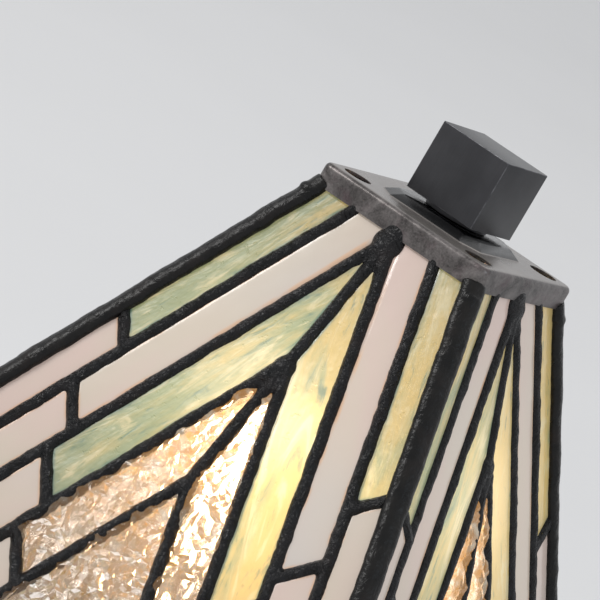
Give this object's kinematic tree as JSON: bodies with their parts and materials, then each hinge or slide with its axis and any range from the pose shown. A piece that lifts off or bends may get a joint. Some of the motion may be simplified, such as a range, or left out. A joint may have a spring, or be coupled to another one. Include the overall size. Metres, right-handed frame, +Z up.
{
  "type": "table lamp",
  "caption": "Square pyramid leaded glass shade on a harp with a cube finial, over a stepped square base with a tapered column and one bulb.",
  "frame": {"origin": "middle of the felt pad's underside, on the table", "axes": "+Z up through the column, the bulb and the finial; the front face of the shade looks along -Y, +X to the right of it"},
  "size_m": [0.3108, 0.3108, 0.5807],
  "materials": {
    "bronze": "dark bronze paint, satin",
    "black_satin": "charcoal paint, fine brushed",
    "patina": "black patina on solder, lumpy",
    "opal_glass": "opalescent sheet, streaked cream, amber and green",
    "hammered_glass": "clear hammered sheet",
    "brass": "lacquered",
    "steel": "zinc plated",
    "cast_iron": "as cast",
    "felt": "pressed felt",
    "phenolic": "moulded phenolic",
    "paper_board": "pressed paper board",
    "bulb_glass": "frosted inside",
    "filament": "drawn tungsten"
  },
  "bodies": {
    "base": {"felt_pad": "felt", "base_foot": "bronze", "cord_bushing": "phenolic", "ballast_plate": "cast_iron", "pipe_washer": "steel", "pipe_nut": "steel", "lamp_pipe": "steel", "base_step": "bronze", "column_plinth": "bronze", "column": "bronze", "column_collar": "bronze", "neck_block": "black_satin", "neck_plate": "bronze", "neck_spacer": "bronze", "harp_saddle": "brass", "socket_cap": "brass", "socket_shell": "brass", "socket_insulator": "paper_board", "socket_core": "phenolic", "contact_tongue": "brass", "screw_shell": "steel"},
    "harp": {"harp_bow": "brass", "harp_stud": "brass"},
    "sleeve_left": {"harp_sleeve_left": "brass"},
    "sleeve_right": {"harp_sleeve_right": "brass"},
    "shade": {"glass_front_left": "opal_glass", "glass_front_right": "opal_glass", "glass_front_centre": "hammered_glass", "glass_right_left": "opal_glass", "glass_right_right": "opal_glass", "glass_right_centre": "hammered_glass", "glass_back_left": "opal_glass", "glass_back_right": "opal_glass", "glass_back_centre": "hammered_glass", "glass_left_left": "opal_glass", "glass_left_right": "opal_glass", "glass_left_centre": "hammered_glass", "leading_front": "patina", "leading_right": "patina", "leading_back": "patina", "leading_left": "patina", "rim_front": "patina", "rim_right": "patina", "rim_back": "patina", "rim_left": "patina", "hip_front_right": "patina", "hip_back_right": "patina", "hip_back_left": "patina", "hip_front_left": "patina", "shade_cap": "patina"},
    "finial_seat": {"finial_bush": "black_satin"},
    "finial": {"finial_cube": "black_satin"},
    "bulb_seat": {"bulb_contact": "brass"},
    "bulb": {"bulb_screw_cap": "steel", "bulb_envelope": "bulb_glass", "bulb_stem": "bulb_glass", "bulb_filament": "filament"},
    "switch": {"switch_knob": "phenolic", "switch_shaft": "brass"}
  },
  "joints": [
    {"name": "harp_lift", "type": "slide", "parent": "base", "child": "harp", "axis": [0, 0, 1], "range_m": [0, 0.02]},
    {"name": "sleeve_left_slide", "type": "slide", "parent": "harp", "child": "sleeve_left", "axis": [0, 0, 1], "range_m": [0, 0.012]},
    {"name": "sleeve_right_slide", "type": "slide", "parent": "harp", "child": "sleeve_right", "axis": [0, 0, 1], "range_m": [0, 0.012]},
    {"name": "shade_lift", "type": "slide", "parent": "harp", "child": "shade", "axis": [0, 0, 1], "range_m": [0, 0.3]},
    {"name": "finial_rise", "type": "slide", "parent": "shade", "child": "finial_seat", "axis": [0, 0, 1], "range_m": [0, 0.01131]},
    {"name": "finial_turn", "type": "hinge", "parent": "finial_seat", "child": "finial", "pos_m": [0, 0, 0.55326], "axis": [0, 0, 1], "range_deg": [0, 4320]},
    {"name": "bulb_rise", "type": "slide", "parent": "base", "child": "bulb_seat", "axis": [0, 0, 1], "range_m": [0, 0.01816]},
    {"name": "bulb_turn", "type": "hinge", "parent": "bulb_seat", "child": "bulb", "pos_m": [0, 0, 0.43826], "axis": [0, 0, 1], "range_deg": [0, 1800]},
    {"name": "switch_turn", "type": "hinge", "parent": "base", "child": "switch", "pos_m": [0, -0.03, 0.34926], "axis": [0, -1, 0], "continuous": true}
  ],
  "couplings": [
    {"joint": "finial_rise", "follows": "finial_turn", "m_per_rad": 0.00014972},
    {"joint": "bulb_rise", "follows": "bulb_turn", "m_per_rad": 0.00057751}
  ]
}
